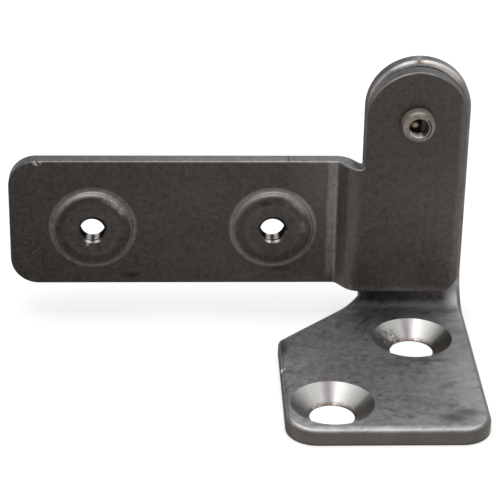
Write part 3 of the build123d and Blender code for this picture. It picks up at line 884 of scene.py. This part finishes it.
def thread_tree():
    """Node tree that winds a helical ridge and sets one copy in each boss."""
    tree = bpy.data.node_groups.new("helical thread", "GeometryNodeTree")
    for name, kind in (
        ("Pitch", "Float"), ("Crest Radius", "Float"), ("Depth", "Float"), ("Length", "Float"),
        ("Steps", "Int"), ("Start", "Vector"), ("Offset", "Vector"), ("Material", "Material"),
    ):
        tree.interface.new_socket(name, in_out="INPUT", socket_type="NodeSocket" + kind)
    tree.interface.new_socket("Geometry", in_out="OUTPUT", socket_type="NodeSocketGeometry")
    wiring = Wiring(tree)
    pitch = wiring.node("NodeGroupInput", output="Pitch")
    depth = pitch.other("Depth")
    length = pitch.other("Length")
    middle = pitch.other("Crest Radius") + 0.5 * depth
    helix = wiring.node("GeometryNodeCurveSpiral", {}, {
        "Resolution": pitch.other("Steps"), "Rotations": length / pitch, "Start Radius": middle,
        "End Radius": middle, "Height": length})
    upright = wiring.node("GeometryNodeSetCurveNormal", {"mode": "Z_UP"}, {"Curve": helix})
    tooth = wiring.node("GeometryNodeCurvePrimitiveQuadrilateral", {"mode": "TRAPEZOID"}, {
        "Height": depth, "Bottom Width": ROOT_SHARE * pitch, "Top Width": CREST_SHARE * pitch,
        "Offset": 0.0})
    inward = wiring.node("GeometryNodeTransform", {}, {
        "Geometry": tooth, "Rotation": (0.0, 0.0, math.radians(90))})
    ridge = wiring.node("GeometryNodeCurveToMesh", {}, {
        "Curve": upright, "Profile Curve": inward, "Fill Caps": True})
    laid = wiring.node("GeometryNodeTransform", {}, {
        "Geometry": ridge, "Rotation": (math.radians(-90), 0.0, 0.0)})
    bosses = wiring.node("GeometryNodeMeshLine", {"mode": "OFFSET"}, {
        "Count": 2, "Start Location": pitch.other("Start"), "Offset": pitch.other("Offset")})
    copies = wiring.node("GeometryNodeInstanceOnPoints", {}, {"Points": bosses, "Instance": laid})
    whole = wiring.node("GeometryNodeRealizeInstances", {}, {"Geometry": copies})
    painted = wiring.node("GeometryNodeSetMaterial", {}, {
        "Geometry": whole, "Material": pitch.other("Material")})
    wiring.node("NodeGroupOutput", {}, {"Geometry": painted})
    return tree


class HINGE_OT_arm(Operator):
    """Dress the arm in its mill finish, with tapped bosses and two nicks"""

    bl_idname = "hinge.arm"
    bl_label = "Arm"

    def execute(self, context):
        made = merged_copy("hinge_arm", "stamped_arm")
        root = TAP_RADIUS + context.scene.hinge_thread.depth / MM
        slope = (MOUTH_RADIUS - TAP_RADIUS) / MOUTH_DEPTH
        mouth_end = BOSS_FACE_Y + MOUTH_DEPTH
        corner = (CORNER_NICK_X, LEAF_FACE_Y - 0.1, LEAF_TOP_Z - 0.1)
        top = (TOP_NICK_X, LEAF_FACE_Y + 1.2, LEAF_TOP_Z + 0.05)
        cutters = [
            nick_cutter(corner, (0.3, 1.2, 1.2), "Y", -40),
            nick_cutter(top, (0.20, 2.8, 0.20), "Y", 45),
        ]
        for x, z in boss_middles():
            cutters.append(bore_cutter(x, z, (root, root), (mouth_end, BOSS_FACE_Y + 2 * SHEET)))
            cutters.append(bore_cutter(
                x, z, (MOUTH_RADIUS + OVERCUT * slope, TAP_RADIUS), (BOSS_FACE_Y - OVERCUT, mouth_end)))
        cut_away(made, cutters)
        settle_normals(made)
        put_on(made, "hinge_arm", "arm", arm_steel(context.scene.hinge_steel))
        return {"FINISHED"}


class HINGE_OT_threads(Operator):
    """Wind the thread turns inside both bosses"""

    bl_idname = "hinge.threads"
    bl_label = "Thread turns"

    def execute(self, context):
        thread = context.scene.hinge_thread
        made = bpy.data.objects.new("boss_threads", bpy.data.meshes.new("boss_threads"))
        context.scene.collection.objects.link(made)
        material = thread_steel(context.scene.hinge_steel)
        first_turn = TAP_MIDDLE - TAP_STEP / 2
        first_turn.y = BOSS_FACE_Y * MM + thread.inset
        values = {
            "Pitch": thread.pitch, "Crest Radius": TAP_RADIUS * MM, "Depth": thread.depth,
            "Length": thread.length, "Steps": thread.steps, "Start": first_turn, "Offset": TAP_STEP,
            "Material": material,
        }
        winding = made.modifiers.new("thread", "NODES")
        winding.node_group = thread_tree()
        for item in winding.node_group.interface.items_tree:
            if item.in_out == "INPUT":
                winding[item.identifier] = values[item.name]
        bake_modifiers(made)
        settle_normals(made)
        put_on(made, None, "arm", material)
        return {"FINISHED"}


class HINGE_OT_bracket(Operator):
    """Dress the base bracket in tumbled steel, with two nicks"""

    bl_idname = "hinge.bracket"
    bl_label = "Base bracket"

    def execute(self, context):
        made = merged_copy("base_bracket", "bent_bracket")
        tab_face = BRACKET_HIGH.y / MM - SHEET
        tab_top = (TAB_NICK_X, tab_face + 0.1, BRACKET_HIGH.z / MM - 0.2)
        left_edge = (BRACKET_LOW.x / MM + 0.1, EDGE_NICK_Y, SHEET - 0.2)
        cut_away(made, [
            nick_cutter(tab_top, (0.24, 0.9, 0.24), "Y", 45),
            nick_cutter(left_edge, (0.9, 0.3, 0.5), "Z", 25),
        ])
        settle_normals(made)
        material = bracket_steel(context.scene.hinge_steel)
        put_on(made, "base_bracket", "bracket", material)
        return {"FINISHED"}


class HINGE_OT_rivet(Operator):
    """Dress the rivet and the washer behind it"""

    bl_idname = "hinge.rivet"
    bl_label = "Rivet and washer"

    def execute(self, context):
        material = rivet_steel(context.scene.hinge_steel)
        for node, piece, slot in (
            ("pivot_rivet", "rolled_rivet", "rivet_steel"),
            ("spacer_washer", "flat_washer", "washer_steel"),
        ):
            made = merged_copy(node, piece)
            settle_normals(made)
            put_on(made, node, "bracket", material)
        return {"FINISHED"}


class HINGE_OT_stage(Operator):
    """Set up the floor, the light and the camera"""

    bl_idname = "hinge.stage"
    bl_label = "Studio"

    def execute(self, context):
        studio = context.scene.hinge_studio
        context.scene.view_settings.view_transform = "Standard"
        add_floor(studio)
        add_world(studio)
        add_softbox(studio)
        add_camera(context.scene, studio)
        return {"FINISHED"}


def seen_ray(wiring):
    """1 for rays that show the surroundings: to the camera, by reflection or through glass."""
    camera = wiring.node("ShaderNodeLightPath", output="Is Camera Ray")
    return wiring.either(camera, camera.other("Is Glossy Ray"), camera.other("Is Transmission Ray"))


def add_floor(studio):
    """Large pale floor under the hinge, white to the camera apart from the shadow."""
    half = studio.floor_size / 2
    level = CAD_LOW.z - FLOOR_GAP
    mesh = bpy.data.meshes.new("floor")
    corners = [(-half, -half, level), (half, -half, level), (half, half, level), (-half, half, level)]
    mesh.from_pydata(corners, [], [(0, 1, 2, 3)])
    floor = bpy.data.objects.new("floor", mesh)
    bpy.context.scene.collection.objects.link(floor)
    material = bpy.data.materials.new("floor_paper")
    material.use_nodes = True
    wiring = Wiring(material.node_tree)
    paper = wiring.node("ShaderNodeBsdfDiffuse", {}, {"Color": (*studio.floor_colour, 1.0)})
    white = wiring.node("ShaderNodeEmission", {}, {"Color": (1.0, 1.0, 1.0, 1.0), "Strength": 1.0})
    share = studio.floor_white * seen_ray(wiring)
    surface = wiring.node("ShaderNodeMixShader", {}, {0: share, 1: paper, 2: white})
    wiring.node("ShaderNodeOutputMaterial", {}, {"Surface": surface})
    mesh.materials.append(material)


def add_world(studio):
    """White surroundings that light the hinge softly."""
    world = bpy.data.worlds.new("studio")
    bpy.context.scene.world = world
    world.use_nodes = True
    wiring = Wiring(world.node_tree)
    strength = studio.ambient + seen_ray(wiring) * (1.0 - studio.ambient)
    background = wiring.node(
        "ShaderNodeBackground", {}, {"Color": (1.0, 1.0, 1.0, 1.0), "Strength": strength})
    wiring.node("ShaderNodeOutputWorld", {}, {"Surface": background})


def add_softbox(studio):
    """A soft rectangular lamp overhead."""
    lamp = bpy.data.lights.new("top_softbox", "AREA")
    lamp.shape = "RECTANGLE"
    lamp.size = studio.softbox_width
    lamp.size_y = studio.softbox_depth
    lamp.energy = studio.top_light
    made = bpy.data.objects.new("top_softbox", lamp)
    place = Vector(studio.softbox_place)
    made.location = place
    made.rotation_mode = "QUATERNION"
    made.rotation_quaternion = (Vector(studio.softbox_aim) - place).to_track_quat("-Z", "Y")
    bpy.context.scene.collection.objects.link(made)


def add_camera(scene, studio):
    """Camera at the photograph's viewing angle."""
    forward = Vector((
        math.sin(studio.yaw) * math.cos(studio.pitch),
        math.cos(studio.yaw) * math.cos(studio.pitch),
        -math.sin(studio.pitch)))
    level = Vector((math.cos(studio.yaw), -math.sin(studio.yaw), 0.0))
    upright = level.cross(forward)
    right = level * math.cos(studio.roll) + upright * math.sin(studio.roll)
    up = upright * math.cos(studio.roll) - level * math.sin(studio.roll)
    lens = bpy.data.cameras.new("photo_camera")
    lens.sensor_width = SENSOR_WIDTH
    lens.lens = SENSOR_WIDTH * studio.focal_pixels / PHOTO_WIDTH
    lens.clip_start = CLIP_START
    lens.clip_end = CLIP_END
    camera = bpy.data.objects.new("photo_camera", lens)
    camera.matrix_world = Matrix.Translation(Vector(studio.aim) - forward * studio.distance) @ Matrix(
        (right, up, -forward)).transposed().to_4x4()
    scene.collection.objects.link(camera)
    scene.camera = camera


class HINGE_PT_panel(Panel):
    """Panel that lists the hinge's pieces and finishes"""

    bl_label = "Pivot Hinge"
    bl_idname = "HINGE_PT_panel"
    bl_space_type = "VIEW_3D"
    bl_region_type = "UI"
    bl_category = "Hinge"

    def draw(self, context):
        for group in (context.scene.hinge_steel, context.scene.hinge_thread, context.scene.hinge_studio):
            box = self.layout.box()
            for name in group.__annotations__:
                box.prop(group, name)
        for operator in OPERATORS:
            self.layout.operator(operator.bl_idname)


OPERATORS = (HINGE_OT_arm, HINGE_OT_threads, HINGE_OT_bracket, HINGE_OT_rivet, HINGE_OT_stage)
CLASSES = (SteelFinish, ThreadSizes, StudioLayout, *OPERATORS, HINGE_PT_panel)


def register():
    """Add the hinge's settings, operators and panel."""
    for item in CLASSES:
        bpy.utils.register_class(item)
    bpy.types.Scene.hinge_steel = PointerProperty(type=SteelFinish)
    bpy.types.Scene.hinge_thread = PointerProperty(type=ThreadSizes)
    bpy.types.Scene.hinge_studio = PointerProperty(type=StudioLayout)


def unregister():
    """Take them away again."""
    del bpy.types.Scene.hinge_studio
    del bpy.types.Scene.hinge_thread
    del bpy.types.Scene.hinge_steel
    for item in reversed(CLASSES):
        bpy.utils.unregister_class(item)


def main():
    """Build the hinge's looks."""
    register()
    bpy.ops.hinge.arm()
    bpy.ops.hinge.threads()
    bpy.ops.hinge.bracket()
    bpy.ops.hinge.rivet()
    bpy.ops.hinge.stage()


if __name__ == "__main__":
    main()
